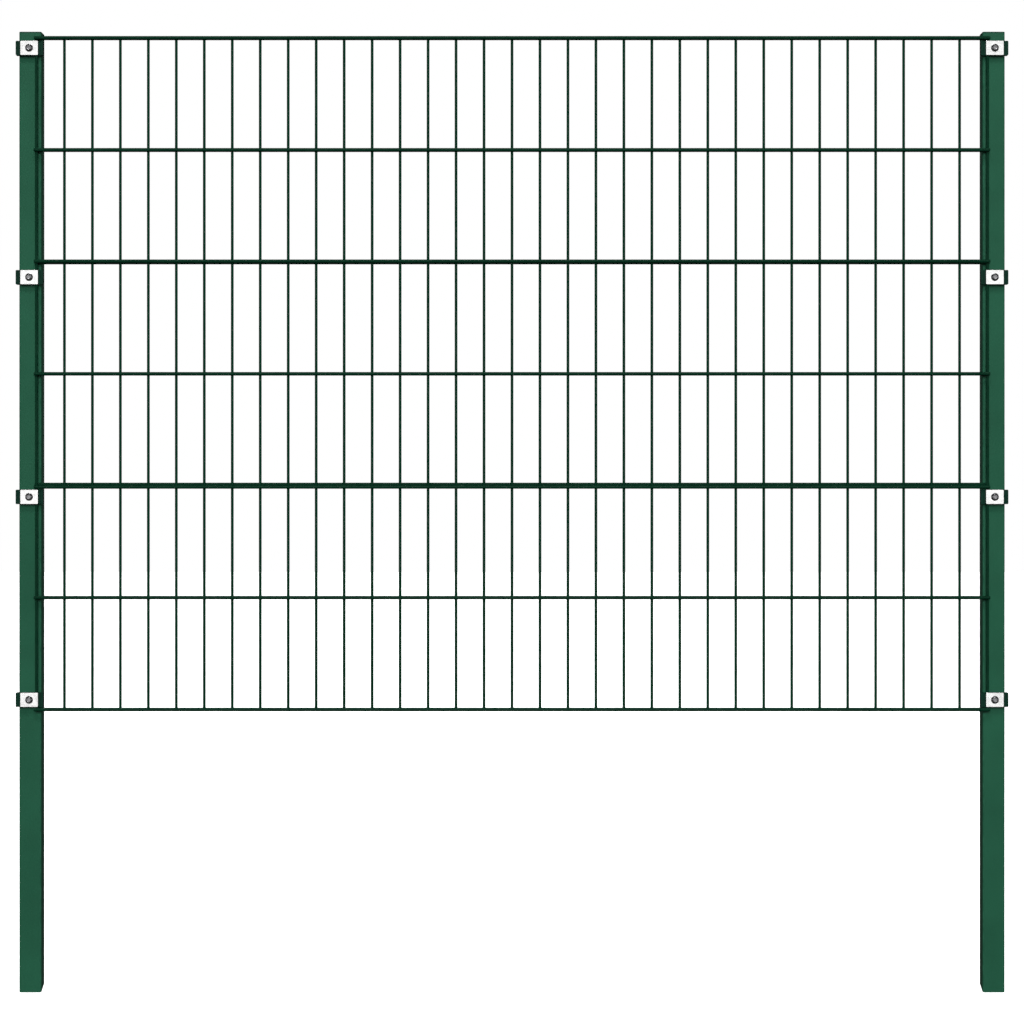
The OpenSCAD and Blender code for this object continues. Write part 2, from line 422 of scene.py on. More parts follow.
class Recipe:
    """A material's node tree while it is being put together."""

    def __init__(self, name: str) -> None:
        """Starts a material with one Principled shader.

        Args:
            name: Name of the material.
        """
        self.material = bpy.data.materials.new(name)
        self.material.use_nodes = True
        self.tree = self.material.node_tree
        self.shader = self.tree.nodes["Principled BSDF"]
        place = self.tree.nodes.new("ShaderNodeTexCoord")
        self.place = place.outputs["Object"]
        self.normal = place.outputs["Normal"]

    def fill(self, target: Socket, value: Value | Triple) -> None:
        """Sets an input to a value, or joins it to another node's socket.

        Args:
            target: Input to fill.
            value: Value or socket that fills it.
        """
        if isinstance(value, Socket):
            self.tree.links.new(value, target)
        else:
            target.default_value = value

    def add(self, kind: str, inputs: Mapping[str, Value | Triple]) -> bpy.types.Node:
        """Adds a node.

        Args:
            kind: Kind of node, without the common start of its type's name.
            inputs: Values or sockets for its inputs, by name.

        Returns:
            The node.
        """
        node = self.tree.nodes.new(f"ShaderNode{kind}")
        for name, value in inputs.items():
            self.fill(node.inputs[name], value)
        return node

    def stretched(self, scale: Triple) -> Socket:
        """Returns the object's coordinates, scaled along each axis."""
        return self.add("Mapping", {"Scale": scale, "Vector": self.place}).outputs["Vector"]

    def noise(
        self,
        pitch: float,
        detail: float = 2.0,
        rough: float = 0.5,
        place: Socket | None = None,
    ) -> Socket:
        """Adds a noise pattern.

        Args:
            pitch: Size of one blotch in metres.
            detail: Number of finer layers.
            rough: Weight of the finer layers.
            place: Coordinates to read in place of the object's own.

        Returns:
            The pattern's height, about 0.5 on average.
        """
        inputs = {"Scale": 1 / pitch, "Detail": detail, "Roughness": rough}
        inputs["Vector"] = place or self.place
        return self.add("TexNoise", inputs).outputs["Fac"]

    def specks(self, pitch: float, size: float) -> Socket:
        """Adds scattered specks, 1 inside, whose radius is a share of their pitch in metres."""
        cells = self.add("TexVoronoi", {"Scale": 1 / pitch, "Vector": self.place})
        return self.span(cells.outputs["Distance"], size, size / 2)

    def span(
        self,
        value: Socket,
        low: float,
        high: float,
        to_low: float = 0.0,
        to_high: float = 1.0,
    ) -> Socket:
        """Maps a value from one range to another, and holds it at the ends.

        Args:
            value: Value to map.
            low: Start of its range.
            high: End of its range.
            to_low: What the start becomes.
            to_high: What the end becomes.

        Returns:
            The mapped value.
        """
        inputs = {"Value": value, "From Min": low, "From Max": high}
        inputs |= {"To Min": to_low, "To Max": to_high}
        return self.add("MapRange", inputs).outputs["Result"]

    def maths(self, operation: str, first: Value, second: Value = 0.0) -> Socket:
        """Works out one sum.

        Args:
            operation: What to do with the two values.
            first: First value.
            second: Second value.

        Returns:
            The result.
        """
        node = self.add("Math", {})
        node.operation = operation
        for value, target in zip((first, second), node.inputs):
            self.fill(target, value)
        return node.outputs["Value"]

    def part_of(self, pattern: Socket, share: Value) -> Socket:
        """Weakens a pattern to a share of itself."""
        return self.maths("MULTIPLY", pattern, share)

    def edges(self, from_flat: float, to_edge: float) -> Socket:
        """Marks rounded edges by how far the surface looks away from the three main directions.

        Args:
            from_flat: Turn at which the mark begins, 0 on a flat.
            to_edge: Turn at which the mark is full, about 0.29 half way round an edge.

        Returns:
            0 on flats and 1 on edges.
        """
        parts = self.add("SeparateXYZ", {"Vector": self.normal})
        sizes = [self.maths("ABSOLUTE", parts.outputs[axis.name]) for axis in Axis]
        flat = self.maths("MAXIMUM", self.maths("MAXIMUM", sizes[0], sizes[1]), sizes[2])
        return self.span(self.maths("SUBTRACT", 1.0, flat), from_flat, to_edge)

    def blend(
        self,
        share: Socket,
        first: Socket | Colour,
        second: Socket | Colour,
    ) -> Socket:
        """Mixes two colours.

        Args:
            share: Share of the second colour, from 0 to 1.
            first: First colour.
            second: Second colour.

        Returns:
            The mixed colour.
        """
        mix = self.add("Mix", {"Factor": share})
        mix.data_type = "RGBA"
        colour_inputs = [s for s in mix.inputs if s.type == "RGBA"]
        for value, target in zip((first, second), colour_inputs):
            self.fill(target, (*value, 1.0) if isinstance(value, tuple) else value)
        return next(s for s in mix.outputs if s.type == "RGBA")

    def relief(self, layers: Sequence[tuple[Socket, float]]) -> Socket:
        """Lays patterns over the surface, one on top of another.

        Args:
            layers: Each pattern with its height in metres.

        Returns:
            The surface's new normal.
        """
        under = {}
        for pattern, height in layers:
            bump = self.add("Bump", {"Distance": height, "Height": pattern, **under})
            under = {"Normal": bump.outputs["Normal"]}
        return under["Normal"]

    def finish(self, inputs: Mapping[str, Value | Sequence[float]]) -> Material:
        """Fills the shader's inputs.

        Args:
            inputs: Values or sockets for them, by name.

        Returns:
            The finished material.
        """
        for name, value in inputs.items():
            self.fill(self.shader.inputs[name], value)
        return self.material


@dataclass(frozen=True)
class Finish:
    """What all finishes share."""

    name: str
    colour: Colour
    roughness: float

    def tone(self, factor: float, lift: float = 0.0) -> Colour:
        """Returns the colour, made darker or lighter by a factor and lifted by a little grey."""
        return tuple(min(1.0, c * factor + lift) for c in self.colour)

    def matt(self, mix: Recipe, pattern: Socket, less: float, more: float) -> Socket:
        """Lets a pattern move the roughness down and up."""
        return mix.span(pattern, 0.3, 0.7, self.roughness - less, self.roughness + more)


@dataclass(frozen=True)
class PowderCoat(Finish):
    """Baked powder coat on steel: orange peel, drifting tone and a painted highlight in patches along
    edges.
    """

    peel_pitch: float = 2.6 * MM
    peel_height: float = 0.18 * MM
    gloss: float = 0.17
    drift: float = 0.10  # how far the tone drifts over a hand's breadth
    drift_pitch: float = 90 * MM
    grain_pitch: float = 0.9 * MM
    grain_share: float = 0.22
    painted_edge_highlight: float = 0.45  # how much lighter the edges are painted: a painted highlight
    edge_highlight_share: float = 0.8
    highlight_patch_pitch: float = 14 * MM
    pit_pitch: float = 11 * MM
    pit_size: float = 0.045
    pit_share: float = 0.5
    pit_depth: float = 0.03 * MM
    gloss_pitch: float = 35 * MM
    fine_pitch: float = 0.5 * MM

    def mixed(self) -> Material:
        """Mixes the material.

        Returns:
            The material.
        """
        mix = Recipe(self.name)
        tone = mix.span(mix.noise(self.drift_pitch, 3.0), 0.3, 0.7)
        base = mix.blend(tone, self.tone(1 - self.drift), self.tone(1 + self.drift))
        grain = mix.span(mix.noise(self.grain_pitch), 0.35, 0.65)
        base = mix.blend(mix.part_of(grain, self.grain_share), base, self.tone(0.55))
        # Rounded edges are painted lighter in patches: a painted highlight.
        patches = mix.span(mix.noise(self.highlight_patch_pitch, 4.0, 0.7), 0.42, 0.62)
        edge = mix.part_of(mix.edges(0.04, 0.22), patches)
        coat_edge_highlight = self.tone(1 + self.painted_edge_highlight, 0.006)
        base = mix.blend(mix.part_of(edge, self.edge_highlight_share), base, coat_edge_highlight)
        pits = mix.specks(self.pit_pitch, self.pit_size)
        base = mix.blend(mix.part_of(pits, self.pit_share), base, self.tone(0.4))
        matt = self.matt(mix, mix.noise(self.gloss_pitch, 3.0), 0.05, 0.06)
        rough = mix.maths("SUBTRACT", matt, mix.part_of(edge, 0.08))
        peel = mix.noise(self.peel_pitch, 1.5, 0.4)
        fine = mix.noise(self.fine_pitch)
        layers = [(peel, self.peel_height), (fine, self.peel_height / 6), (pits, -self.pit_depth)]
        relief = mix.relief(layers)
        return mix.finish(
            {"Base Color": base, "Roughness": rough, "Normal": relief, "Specular IOR Level": self.gloss}
        )


@dataclass(frozen=True)
class MouldedPlastic(Finish):
    """Moulded plastic with a fine spark-eroded grain, faint flow marks and a painted highlight in patches
    along edges.
    """

    gloss: float = 0.25
    grain_pitch: float = 0.45 * MM
    grain_height: float = 0.03 * MM
    flow_pitch: float = 9 * MM
    flow_height: float = 0.02 * MM
    flow_stretch: Triple = (1.0, 0.6, 0.35)
    highlight_patch_pitch: float = 5 * MM
    edge_highlight_share: float = 0.7
    gloss_pitch: float = 6 * MM

    def mixed(self) -> Material:
        """Mixes the material.

        Returns:
            The material.
        """
        mix = Recipe(self.name)
        flow = mix.noise(self.flow_pitch, 3.0, 0.6, mix.stretched(self.flow_stretch))
        tone = mix.span(flow, 0.3, 0.7)
        base = mix.blend(tone, self.tone(0.82), self.tone(1.25))
        # Rounded edges are painted lighter in patches: a painted highlight.
        patches = mix.span(mix.noise(self.highlight_patch_pitch, 3.0), 0.4, 0.65)
        edge = mix.part_of(mix.edges(0.06, 0.25), patches)
        plastic_edge_highlight = self.tone(1.5, 0.004)
        base = mix.blend(mix.part_of(edge, self.edge_highlight_share), base, plastic_edge_highlight)
        rough = self.matt(mix, mix.noise(self.gloss_pitch), 0.06, 0.07)
        grain = mix.noise(self.grain_pitch, 3.0, 0.6)
        relief = mix.relief([(grain, self.grain_height), (flow, self.flow_height)])
        return mix.finish(
            {"Base Color": base, "Roughness": rough, "Normal": relief, "Specular IOR Level": self.gloss}
        )


@dataclass(frozen=True)
class BareMetal(Finish):
    """Bare or plated metal with drawn brush lines, faint stains, and edges that are less rough and
    painted lighter as a painted highlight.
    """

    brush_pitch: float
    brush_height: float
    stain: float
    brush: Triple = (1.0, 1.0, 1.0)  # how much finer the lines are along each axis
    stain_pitch: float = 7 * MM
    line_share: float = 0.35
    edge_highlight_share: float = 0.6

    def mixed(self) -> Material:
        """Mixes the material.

        Returns:
            The material.
        """
        mix = Recipe(self.name)
        lines = mix.noise(self.brush_pitch, 4.0, 0.7, mix.stretched(self.brush))
        stains = mix.span(mix.noise(self.stain_pitch, 4.0, 0.6), 0.4, 0.75)
        base = mix.blend(stains, self.colour, self.tone(1 - self.stain))
        dark_lines = mix.span(lines, 0.35, 0.65, 0.0, self.line_share)
        base = mix.blend(dark_lines, base, self.tone(0.86))
        # Edges are painted lighter: a painted highlight.
        edge = mix.edges(0.05, 0.25)
        base = mix.blend(mix.part_of(edge, self.edge_highlight_share), base, self.tone(1.08))
        matt = mix.maths("ADD", self.matt(mix, lines, 0.04, 0.06), mix.part_of(stains, 0.08))
        rough = mix.maths("SUBTRACT", matt, mix.part_of(edge, 0.06))
        relief = mix.relief([(lines, self.brush_height)])
        return mix.finish(
            {"Base Color": base, "Roughness": rough, "Normal": relief, "Metallic": 1.0}
        )


@dataclass(frozen=True)
class Finishes:
    """Every finish of the bay."""

    post: PowderCoat = PowderCoat("green_coat_on_posts", (0.0110, 0.069, 0.0375), 0.46)
    # The wires carry the posts' paint, given a darker colour here: painted shade of thin round wires.
    wire: PowderCoat = PowderCoat(
        "green_coat_on_wires_darkened_as_painted_shade",
        (0.0010, 0.0200, 0.0093),
        0.42,
        peel_pitch=1.2 * MM,
        peel_height=0.015 * MM,
        gloss=0.07,
        drift=0.12,
        painted_edge_highlight=0.6,
    )
    # The welds carry the posts' paint, given a darker colour here: painted shade.
    weld: PowderCoat = PowderCoat(
        "green_coat_on_welds_darkened_as_painted_shade",
        (0.0022, 0.0270, 0.0135),
        0.48,
        peel_pitch=0.9 * MM,
        peel_height=0.03 * MM,
        gloss=0.08,
        drift=0.15,
        painted_edge_highlight=0.6,
    )
    cap: MouldedPlastic = MouldedPlastic("green_cap_plastic", (0.0040, 0.036, 0.020), 0.5)
    saddle: MouldedPlastic = MouldedPlastic(
        "dark_green_saddle_plastic", (0.0012, 0.0170, 0.0098), 0.46, gloss=0.15
    )
    plate: BareMetal = BareMetal(
        "brushed_stainless_steel",
        (0.96, 0.96, 0.95),
        0.20,
        brush_pitch=1.2 * MM,
        brush_height=0.0012 * MM,
        stain=0.04,
        brush=(0.06, 1.0, 3.0),
    )
    screw: BareMetal = BareMetal(
        "plated_screw_steel",
        (0.38, 0.38, 0.39),
        0.26,
        brush_pitch=0.9 * MM,
        brush_height=0.003 * MM,
        stain=0.18,
    )
    nut: BareMetal = BareMetal(
        "zinc_plated_nut",
        (0.66, 0.65, 0.60),
        0.38,
        brush_pitch=1.1 * MM,
        brush_height=0.012 * MM,
        stain=0.22,
        brush=(1.0, 0.3, 1.0),
    )


def hand_over(piece: Piece, material: Material, nodes: Sequence[str] = ()) -> None:
    """Dresses a finished piece and hands it to the frame.

    Args:
        piece: Finished piece.
        material: Its material.
        nodes: CAD nodes that the piece stands for.
    """
    piece.data.materials.clear()
    piece.data.materials.append(material)
    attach(piece, "root")
    if nodes:
        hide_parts(*nodes)
    log.info("%s: %d faces, %s", piece.name, len(piece.data.polygons), material.name)


# Posts and caps


@dataclass
class Post:
    """Square tube with rolled corners, a slanting foot cut and a hole for each rivet nut."""

    side: str
    clamp_count: int
    corner_r: float = 4 * MM
    wall: float = 1.5 * MM
    foot_slant: float = 12 * MM
    nut_hole_r: float = 5.5 * MM
    edge_break: float = 0.25 * MM
    seam_w: float = 2.4 * MM
    seam_h: float = 0.35 * MM
    seam_root: float = 0.5 * MM
    seam_round: float = 0.9  # share of the seam's height that is rounded
    corner_steps: int = 6
    edge_steps: int = 2
    seam_steps: int = 3
    hole_sides: int = 40
    low: Vector = field(init=False)
    high: Vector = field(init=False)

    def __post_init__(self) -> None:
        """Reads the post's place from the frame."""
        self.low, self.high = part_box(self.node)

    @property
    def node(self) -> str:
        """Name of the CAD node."""
        return f"{self.side}_post"

    def foot_normal(self) -> Vector:
        """Returns the direction square to the foot cut, upwards."""
        return Vector((0, -self.foot_slant, self.high.y - self.low.y)).normalized()

    def on_foot(self, corner: bmesh.types.BMVert) -> bool:
        """Says whether a corner lies on the foot cut."""
        return abs((corner.co - self.low).dot(self.foot_normal())) < TOUCH

    def tube(self) -> Piece:
        """Rolls the tube and cuts its foot and its holes.

        Returns:
            The tube.
        """
        tube = Bench.block(f"{self.side}_post_tube", self.low, self.high)
        Bench.round_edges(tube, lambda e: runs_along(e, Axis.Z), self.corner_r, self.corner_steps)
        Bench.pick(tube, Part.FACE, lambda face: True)
        bpy.ops.mesh.bisect(
            plane_co=self.low, plane_no=self.foot_normal(), use_fill=True, clear_inner=True
        )
        Bench.close()
        inset = Vector((self.wall, self.wall, -CUTTER_REACH))
        bore = Bench.block("bore", self.low + inset, self.high - inset)
        bore_r = self.corner_r - self.wall
        Bench.round_edges(bore, lambda e: runs_along(e, Axis.Z), bore_r, self.corner_steps)
        Bench.combine(tube, bore, Cut.TAKE)
        for i in range(1, self.clamp_count + 1):
            screw = middle_of(f"{self.side}_clamp_screw_{i}")
            start = (screw.x, self.low.y - CUTTER_REACH, screw.z)
            depth = self.wall + 2 * CUTTER_REACH
            drill = Bench.rod("drill", Axis.Y, self.nut_hole_r, start, depth, self.hole_sides)
            Bench.combine(tube, drill, Cut.TAKE)
        Bench.round_edges(
            tube,
            lambda e: lies_at(e, Axis.Z, self.high.z) or all(self.on_foot(v) for v in e.verts),
            self.edge_break,
            self.edge_steps,
        )
        Bench.smooth(tube)
        return tube

    def seam(self) -> Piece:
        """Lays the tube's weld seam down the inside of the back wall.

        Returns:
            The seam.
        """
        back = self.high.y - self.wall
        middle = (self.low.x + self.high.x) / 2
        low = (middle - self.seam_w / 2, back - self.seam_h, self.low.z + self.foot_slant)
        high = (middle + self.seam_w / 2, back + self.seam_root, self.high.z - self.edge_break)
        seam = Bench.block(f"{self.side}_post_weld_seam", low, high)
        Bench.round_edges(
            seam,
            lambda e: runs_along(e, Axis.Z) and lies_at(e, Axis.Y, back - self.seam_h),
            self.seam_h * self.seam_round,
            self.seam_steps,
        )
        Bench.smooth(seam)
        return seam

    def build(self, coat: Material) -> None:
        """Makes the post and hands it over."""
        hand_over(self.tube(), coat, [self.node])
        hand_over(self.seam(), coat)


@dataclass
class PostCap:
    """Moulded cap: a cover on the tube's end and a hollow ribbed plug inside it."""

    side: str
    corner_r: float = 4 * MM
    cover_t: float = 2.5 * MM
    edge_r: float = 1.2 * MM
    plug_inset: float = 2.4 * MM
    plug_wall: float = 2 * MM
    plug_taper: float = 0.985
    rib_w: float = 1.6 * MM
    rib_h: float = 0.8 * MM
    rib_lead: float = 0.8  # share of a rib's height that tapers off at its lower end
    corner_steps: int = 6
    edge_steps: int = 4
    rib_steps: int = 2

    @property
    def node(self) -> str:
        """Name of the CAD node."""
        return f"{self.side}_post_cap"

    def cover(self, low: Vector, high: Vector) -> Piece:
        """Moulds the cover, with a round edge along its top.

        Args:
            low: Lowest corner of the cap's box.
            high: Highest corner of the cap's box.

        Returns:
            The cover.
        """
        cover = Bench.block(f"{self.side}_moulded_cap", (low.x, low.y, high.z - self.cover_t), high)
        Bench.round_edges(cover, lambda e: runs_along(e, Axis.Z), self.corner_r, self.corner_steps)
        Bench.round_edges(cover, lambda e: lies_at(e, Axis.Z, high.z), self.edge_r, self.edge_steps)
        return cover

    def plug(self, cover: Piece, low: Vector, high: Vector) -> None:
        """Draws the hollow plug down out of the cover's underside.

        Args:
            cover: Cover to draw it from.
            low: Lowest corner of the cap's box.
            high: Highest corner of the cap's box.
        """
        under = high.z - self.cover_t
        length = under - low.z
        middle = (low + high) / 2
        Bench.pick(cover, Part.FACE, lambda face: lies_at(face, Axis.Z, under))
        bpy.ops.mesh.inset(thickness=self.plug_inset)
        bpy.ops.mesh.extrude_region_move(TRANSFORM_OT_translate={"value": (0, 0, -length)})
        bpy.ops.transform.resize(
            value=(self.plug_taper, self.plug_taper, 1), center_override=(middle.x, middle.y, low.z)
        )
        bpy.ops.mesh.inset(thickness=self.plug_wall)
        bpy.ops.mesh.extrude_region_move(TRANSFORM_OT_translate={"value": (0, 0, length)})
        Bench.close()

    def ribs(self, cover: Piece, low: Vector, high: Vector) -> None:
        """Adds two tapering grip ribs to each side of the plug.

        Args:
            cover: Cover with its plug.
            low: Lowest corner of the cap's box.
            high: Highest corner of the cap's box.
        """
        middle = (low + high) / 2
        half = (high.x - low.x) / 2 - self.plug_inset
        top = high.z - self.cover_t
        root = self.plug_wall / 2
        ways = ((Axis.X, Axis.Y), (Axis.Y, Axis.X))
        for across, sign, (along, other) in product((-half / 2, half / 2), (-1, 1), ways):
            inner = sign * (half - root)
            outer = sign * (half + self.rib_h)
            tip = middle[other.value] + outer
            a = Vector((middle.x, middle.y, low.z + self.rib_w))
            b = Vector((middle.x, middle.y, top))
            a[along.value] += across - self.rib_w / 2
            b[along.value] += across + self.rib_w / 2
            a[other.value] += min(inner, outer)
            b[other.value] += max(inner, outer)
            rib = Bench.block("rib", a, b)
            Bench.round_edges(
                rib,
                lambda e: lies_at(e, Axis.Z, a.z) and lies_at(e, other, tip),
                self.rib_h * self.rib_lead,
                self.rib_steps,
            )
            Bench.combine(cover, rib, Cut.ADD)

    def build(self, plastic: Material) -> None:
        """Makes the cap and hands it over.

        Args:
            plastic: The cap's material.
        """
        low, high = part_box(self.node)
        cap = self.cover(low, high)
        self.plug(cap, low, high)
        self.ribs(cap, low, high)
        Bench.smooth(cap)
        hand_over(cap, plastic, [self.node])


# Clamps


@dataclass
class ClampKit:
    """Saddle, plate, screw and rivet nut, each modelled once about the screw's axis.
    """

    saddle_w: float = 48.9 * MM  # leaves room for what its softened corners add
    saddle_h: float = 26 * MM
    saddle_t: float = 11.1 * MM
    saddle_corner_r: float = 2 * MM
    lip_t: float = 4.3 * MM
    lip_d: float = 3.5 * MM
    channel_offset: float = 12.5 * MM
    channel_out: float = 8.5 * MM
    channel_r: float = 2.6 * MM
    groove_w: float = 4 * MM
    groove_d: float = 1.5 * MM
    groove_gap: float = 0.6 * MM
    saddle_hole_r: float = 4.5 * MM
    flange_room_r: float = 7.75 * MM
    flange_room_d: float = 1.8 * MM
    mould_break: float = 0.35 * MM
    plate_w: float = 31.5 * MM
    plate_h: float = 25.5 * MM
    plate_t: float = 2.5 * MM
    plate_corner_r: float = 1.5 * MM
    plate_hole_r: float = 4.3 * MM
    plate_break: float = 0.3 * MM
    head_r: float = 7 * MM
    head_h: float = 4.4 * MM
    rim_h: float = 0.8 * MM
    rim_break: float = 0.25 * MM
    land_r: float = 3.8 * MM
    socket_af: float = 5 * MM
    socket_d: float = 2.6 * MM
    socket_break: float = 0.3 * MM
    screw_l: float = 25 * MM
    point_l: float = 0.8 * MM
    core_r: float = 3.3 * MM
    thread_r: float = 3.95 * MM
    thread_root: float = 0.2 * MM
    thread_pitch: float = 1.25 * MM
    thread_run_out: float = 0.5 * MM
    nut_body_r: float = 5.45 * MM
    nut_flange_r: float = 7.45 * MM
    nut_flange_t: float = 1.5 * MM
    nut_bulge_r: float = 6.75 * MM
    nut_bulge_l: float = 3.2 * MM
    nut_bore_r: float = 4 * MM
    nut_l: float = 16 * MM
    nut_ease: float = 0.5 * MM
    wall: float = 1.5 * MM
    sides: int = 48
    core_sides: int = 24
    thread_sides: int = 16
    dome_steps: int = 9
    corner_steps: int = 5
    channel_steps: int = 8
    edge_steps: int = 3
    socket_steps: int = 2

    @property
    def seat(self) -> float:
        """Y of the plate's front face, which the screw's head sits on."""
        return -self.saddle_t - self.plate_t

    def slab(self, name: str, out: float, thick: float, w: float, h: float, r: float) -> Piece:
        """Cuts a slab with round outline corners.

        Args:
            name: Name of the slab.
            out: How far its back stands out from the post.
            thick: Thickness.
            w: Width.
            h: Height.
            r: Radius of the outline corners.

        Returns:
            The slab.
        """
        slab = Bench.block(name, (-w / 2, -out - thick, -h / 2), (w / 2, -out, h / 2))
        Bench.round_edges(slab, lambda e: runs_along(e, Axis.Y), r, self.corner_steps)
        return slab

    def drill(self, piece: Piece, radius: float, front: float, back: float) -> None:
        """Drills a hole about the screw's axis.

        Args:
            piece: Piece to drill.
            radius: Radius of the hole.
            front: Y where the drill starts.
            back: Y where the drill stops.
        """
        bit = Bench.rod("drill", Axis.Y, radius, (0, front, 0), back - front, self.sides)
        Bench.combine(piece, bit, Cut.TAKE)

    def channel(self, piece: Piece, x: float) -> None:
        """Mills an upright wire channel with a half-round floor.

        Args:
            piece: Piece to mill.
            x: X of the channel's middle.
        """
        front = -self.saddle_t - CUTTER_REACH
        back = -self.channel_out + self.channel_r
        reach = self.saddle_h / 2 + CUTTER_REACH
        mill = Bench.block(
            "mill", (x - self.channel_r, front, -reach), (x + self.channel_r, back, reach)
        )
        Bench.round_edges(
            mill,
            lambda e: runs_along(e, Axis.Z) and lies_at(e, Axis.Y, back),
            self.channel_r - 2 * TOUCH,
            self.channel_steps,
        )
        Bench.combine(piece, mill, Cut.TAKE)

    def groove(self, piece: Piece, sign: int) -> None:
        """Mills the shallow groove between the plate's edge and the saddle's edge.

        Args:
            piece: Piece to mill.
            sign: Side of the screw: -1 left, 1 right.
        """
        inner = self.plate_w / 2 + self.groove_gap
        xs = sorted((sign * inner, sign * (inner + self.groove_w)))
        floor = -self.saddle_t + self.groove_d
        reach = self.saddle_h / 2 + CUTTER_REACH
        mill = Bench.block(
            "mill", (xs[0], -self.saddle_t - CUTTER_REACH, -reach), (xs[1], floor, reach)
        )
        Bench.round_edges(
            mill,
            lambda e: runs_along(e, Axis.Z) and lies_at(e, Axis.Y, floor),
            self.groove_d / 2,
            self.edge_steps,
        )
        Bench.combine(piece, mill, Cut.TAKE)

    def saddle(self) -> Piece:
        """Moulds the saddle: slab, lips, wire channels, grooves, screw hole and flange pocket.

        Returns:
            The saddle.
        """
        saddle = self.slab(
            "saddle", 0, self.saddle_t, self.saddle_w, self.saddle_h, self.saddle_corner_r
        )
        half_h = self.saddle_h / 2 - self.saddle_corner_r
        for sign in (-1, 1):
            xs = sorted((sign * self.saddle_w / 2, sign * (self.saddle_w / 2 - self.lip_t)))
            lip = Bench.block("lip", (xs[0], -self.lip_t, -half_h), (xs[1], self.lip_d, half_h))
            Bench.combine(saddle, lip, Cut.ADD)
        for sign in (-1, 1):
            self.channel(saddle, sign * self.channel_offset)
            self.groove(saddle, sign)
        self.drill(saddle, self.saddle_hole_r, -self.saddle_t - CUTTER_REACH, CUTTER_REACH)
        self.drill(saddle, self.flange_room_r, -self.flange_room_d, CUTTER_REACH)
        Bench.clean(saddle)
        Bench.soften(saddle, self.mould_break)
        Bench.smooth(saddle)
        return saddle

    def plate(self) -> Piece:
        """Punches the plate: the punch rounds the front edges and leaves the back ones crisp.

        Returns:
            The plate.
        """
        plate = self.slab(
            "plate", self.saddle_t, self.plate_t, self.plate_w, self.plate_h, self.plate_corner_r
        )
        self.drill(plate, self.plate_hole_r, self.seat - CUTTER_REACH, -self.saddle_t + CUTTER_REACH)
        Bench.round_edges(
            plate, lambda e: lies_at(e, Axis.Y, self.seat), self.plate_break, self.edge_steps
        )
        Bench.round_edges(
            plate, lambda e: lies_at(e, Axis.Y, -self.saddle_t), self.plate_break / 3, 1
        )
        Bench.smooth(plate)
        return plate

    def head_outline(self) -> list[tuple[float, float]]:
        """Draws the button head's outline, from its seat round the dome to its axis.

        Returns:
            Radius and Y of each corner.
        """
        gap = (self.head_r**2 - self.land_r**2 + self.rim_h**2 - self.head_h**2) / (
            2 * (self.head_h - self.rim_h)
        )
        dome_r = math.hypot(self.head_r, self.rim_h + gap)
        outline = [(0.0, self.seat + self.rim_h)]
        outline += [(self.core_r, self.seat + self.rim_h), (self.core_r, self.seat)]
        outline.append((self.head_r - self.rim_break, self.seat))
        outline.append((self.head_r, self.seat - self.rim_break))
        start = math.acos(self.head_r / dome_r)
        end = math.acos(self.land_r / dome_r)
        for i in range(self.dome_steps + 1):
            turn = start + (end - start) * i / self.dome_steps
            outline.append((dome_r * math.cos(turn), self.seat + gap - dome_r * math.sin(turn)))
        outline.append((0.0, self.seat - self.head_h))
        return outline

    def head(self) -> Piece:
        """Turns the button head and broaches its hexagon socket.

        Returns:
            The head.
        """
        head = Bench.turned("screw", self.head_outline(), self.sides)
        front = self.seat - self.head_h
        radius = self.socket_af / math.sqrt(3)
        length = self.socket_d + CUTTER_REACH
        broach = Bench.rod("broach", Axis.Y, radius, (0, front - CUTTER_REACH, 0), length, HEXAGON)
        Bench.combine(head, broach, Cut.TAKE)
        Bench.round_edges(
            head,
            lambda e: lies_at(e, Axis.Y, front)
            and all(math.hypot(v.co.x, v.co.z) < radius + TOUCH for v in e.verts),
            self.socket_break,
            self.socket_steps,
        )
        return head

    def thread(self) -> Piece:
        """Rolls the thread as a helix of one tooth round the core.

        Returns:
            The thread.
        """
        start = self.seat - self.thread_run_out
        Bench.clear()
        bpy.ops.mesh.primitive_circle_add(
            vertices=3, radius=self.thread_pitch / 2, location=(self.core_r, start, 0)
        )
        tooth = Bench.name(bpy.context.object, "thread")
        Bench.settle(tooth)
        Bench.pick(tooth, Part.CORNER, lambda corner: True)
        mesh = bmesh.from_edit_mesh(tooth.data)
        crest = max(mesh.verts, key=lambda v: v.co.x)
        others = sorted((v for v in mesh.verts if v is not crest), key=lambda v: v.co.y)
        spread = self.thread_pitch * TOOTH_SPREAD
        root = self.core_r - self.thread_root
        seats = ((self.thread_r, start), (root, start - spread), (root, start + spread))
        for corner, (x, y) in zip([crest, *others], seats):
            corner.co = (x, y, 0)
        bmesh.update_edit_mesh(tooth.data)
        Bench.close()
        Bench.modify(
            tooth,
            "SCREW",
            axis="Y",
            angle=2 * math.pi,
            iterations=int((self.screw_l - 2 * self.thread_run_out) / self.thread_pitch),
            screw_offset=self.thread_pitch,
            steps=self.thread_sides,
            render_steps=self.thread_sides,
            use_merge_vertices=False,
        )
        Bench.pick(tooth, Part.EDGE, lambda edge: edge.is_boundary)
        bpy.ops.mesh.fill()
        bpy.ops.mesh.select_all(action="SELECT")
        bpy.ops.mesh.normals_make_consistent(inside=False)
        Bench.close()
        return tooth

    def screw(self) -> Piece:
        """Makes the whole screw: head, core and thread.

        Returns:
            The screw.
        """
        tip = self.seat + self.screw_l
        root = self.seat + self.thread_run_out
        outline = [(0.0, root), (self.core_r, root), (self.core_r, tip - self.point_l)]
        outline += [(self.core_r - self.point_l, tip), (0.0, tip)]
        core = Bench.turned("core", outline, self.core_sides)
        screw = Bench.join([self.head(), core, self.thread()])
        Bench.smooth(screw)
        return screw

